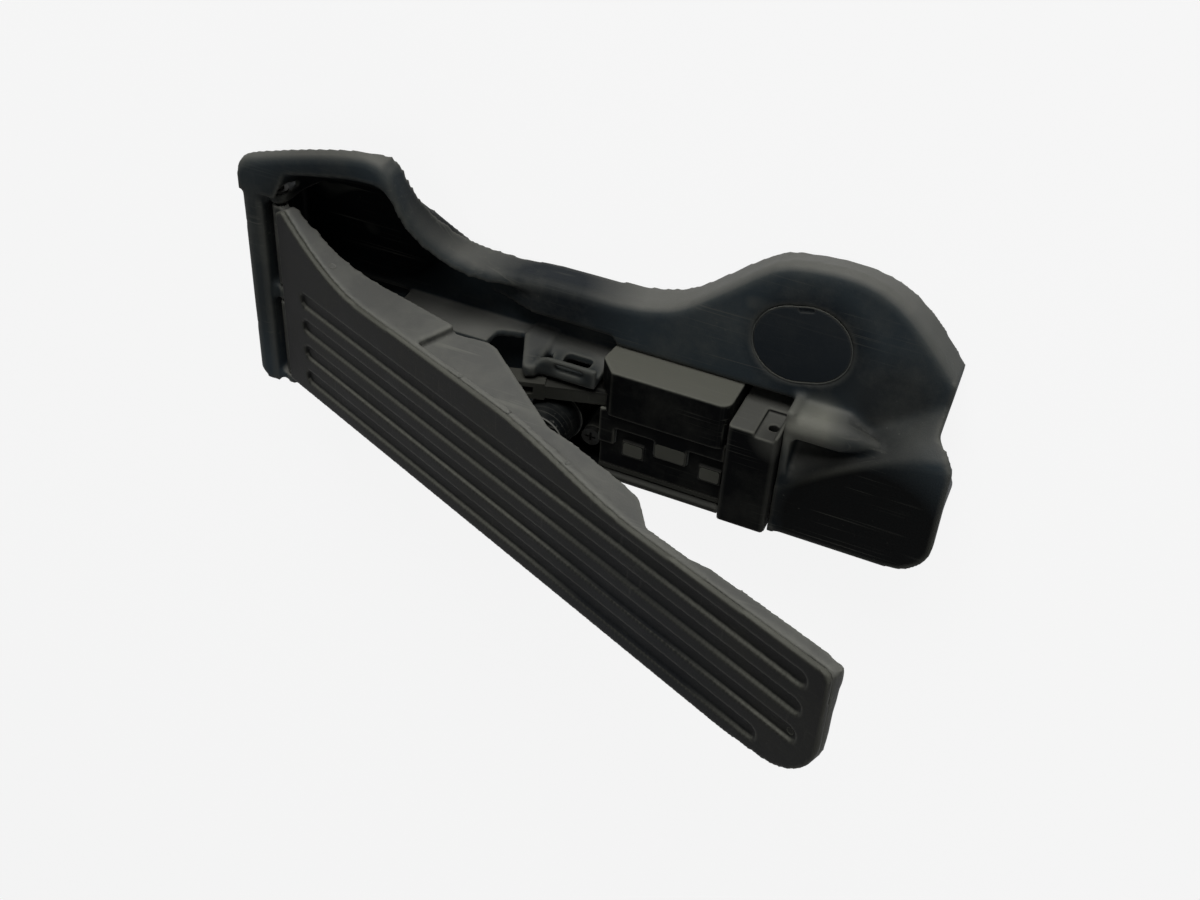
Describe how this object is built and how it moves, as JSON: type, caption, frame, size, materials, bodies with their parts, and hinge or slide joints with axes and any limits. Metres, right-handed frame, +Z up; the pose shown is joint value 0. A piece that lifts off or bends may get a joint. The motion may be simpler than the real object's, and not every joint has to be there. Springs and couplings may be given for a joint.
{
  "type": "accelerator pedal",
  "caption": "Floor-hinged accelerator pedal module: long ribbed pad on a moulded base with return lever, position sensor, connector and kickdown button.",
  "frame": {"origin": "on the flat underside of the housing, straight below the pedal's hinge pin", "axes": "+X to the driver's right along the hinge pin, +Y from the heel to the toe end, +Z up from the floor"},
  "size_m": [0.1038, 0.2526, 0.1308],
  "materials": {
    "housing_plastic": "matt",
    "black_plastic": "satin",
    "tread_rubber": "matt",
    "steel": "satin",
    "spring_steel": "satin",
    "bronze": "satin",
    "seal_rubber": "matt",
    "board": "satin",
    "contact_brass": "polished",
    "magnet": "matt",
    "natural_nylon": "satin",
    "friction_lining": "matt"
  },
  "bodies": {
    "base": {"housing": "housing_plastic", "bolt_cap": "black_plastic", "mounting_sleeves": "steel", "hinge_pin": "steel", "pin_clip": "spring_steel", "sensor_housing": "black_plastic", "sensor_cover": "housing_plastic", "cover_seal": "seal_rubber", "electronics_lid": "black_plastic", "connector_block": "housing_plastic", "terminals": "contact_brass", "circuit_board": "board", "box_screws": "steel", "shaft_bushes": "bronze", "return_spring": "spring_steel", "assist_spring": "spring_steel", "friction_shoe": "friction_lining", "lever_stop": "seal_rubber", "kickdown_drum": "black_plastic", "kickdown_spring": "spring_steel"},
    "pedal": {"pedal_carrier": "housing_plastic", "pedal_tread": "tread_rubber"},
    "lever": {"lever": "black_plastic", "lever_shaft": "steel", "rotor_magnet": "magnet", "roller_axle": "steel", "drive_roller": "natural_nylon"},
    "plunger": {"kickdown_plunger": "black_plastic"}
  },
  "joints": [
    {"name": "pedal_hinge", "type": "hinge", "parent": "base", "child": "pedal", "pos_m": [0, 0, 0.027], "axis": [-1, 0, 0], "range_deg": [0, 14], "stiffness_Nm_per_rad": 8, "springref_deg": -20.05},
    {"name": "lever_turn", "type": "hinge", "parent": "base", "child": "lever", "pos_m": [0.01, 0.135, 0.016], "axis": [1, 0, 0], "range_deg": [0, 25.5]},
    {"name": "kickdown_press", "type": "slide", "parent": "base", "child": "plunger", "axis": [0, 0, -1], "range_m": [0, 0.004], "stiffness_N_per_m": 6000, "deforming": ["kickdown_spring"]}
  ],
  "couplings": [
    {"joint": "lever_turn", "follows": "pedal_hinge", "ratio": 1.8}
  ]
}
